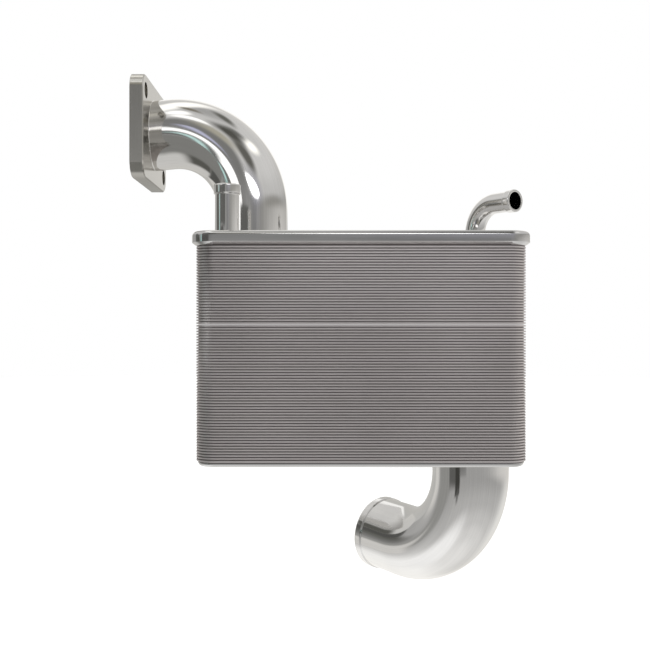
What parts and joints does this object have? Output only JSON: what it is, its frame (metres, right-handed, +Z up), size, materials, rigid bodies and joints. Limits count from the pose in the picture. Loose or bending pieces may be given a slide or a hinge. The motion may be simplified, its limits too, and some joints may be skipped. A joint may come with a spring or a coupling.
{
  "type": "aftercooler",
  "caption": "Charge-air aftercooler: a brazed stack of flat plates between a cover and a base plate, with a flanged air inlet elbow, an air outlet elbow and coolant stubs.",
  "frame": {"origin": "centre of the inlet flange's mating face", "axes": "-X out of the inlet flange's mating face, +Z up from the base plate to the cover plate, +Y from the side with the front coolant stub to the side with the rear one"},
  "size_m": [0.3535, 0.2091, 0.448],
  "materials": {
    "core_plates": "brazed stainless steel, dull satin, warm grey",
    "finned_layers": "brazed stainless steel fins, dark between the plates",
    "cover_and_base": "satin stainless steel",
    "flange": "machined stainless steel, fine satin",
    "polished_tube": "polished stainless steel"
  },
  "bodies": {
    "root": {"plates_01": "core_plates", "plates_02": "core_plates", "plates_03": "core_plates", "plates_04": "core_plates", "plates_05": "core_plates", "plates_06": "core_plates", "plates_07": "core_plates", "plates_08": "core_plates", "plates_09": "core_plates", "plates_10": "core_plates", "plates_11": "core_plates", "coolant_layers_01": "finned_layers", "coolant_layers_02": "finned_layers", "coolant_layers_03": "finned_layers", "coolant_layers_04": "finned_layers", "coolant_layers_05": "finned_layers", "coolant_layers_06": "finned_layers", "coolant_layers_07": "finned_layers", "coolant_layers_08": "finned_layers", "coolant_layers_09": "finned_layers", "coolant_layers_10": "finned_layers", "coolant_layers_11": "finned_layers", "coolant_layers_12": "finned_layers", "coolant_layers_13": "finned_layers", "air_layers_01": "finned_layers", "air_layers_02": "finned_layers", "air_layers_03": "finned_layers", "air_layers_04": "finned_layers", "air_layers_05": "finned_layers", "air_layers_06": "finned_layers", "air_layers_07": "finned_layers", "air_layers_08": "finned_layers", "air_layers_09": "finned_layers", "air_layers_10": "finned_layers", "air_layers_11": "finned_layers", "air_layers_12": "finned_layers", "air_layers_13": "finned_layers", "cover_plate": "cover_and_base", "base_plate": "cover_and_base", "inlet_flange": "flange", "inlet_elbow": "polished_tube", "outlet_elbow": "polished_tube", "front_coolant_stub": "polished_tube", "rear_coolant_stub": "polished_tube"}
  },
  "joints": []
}
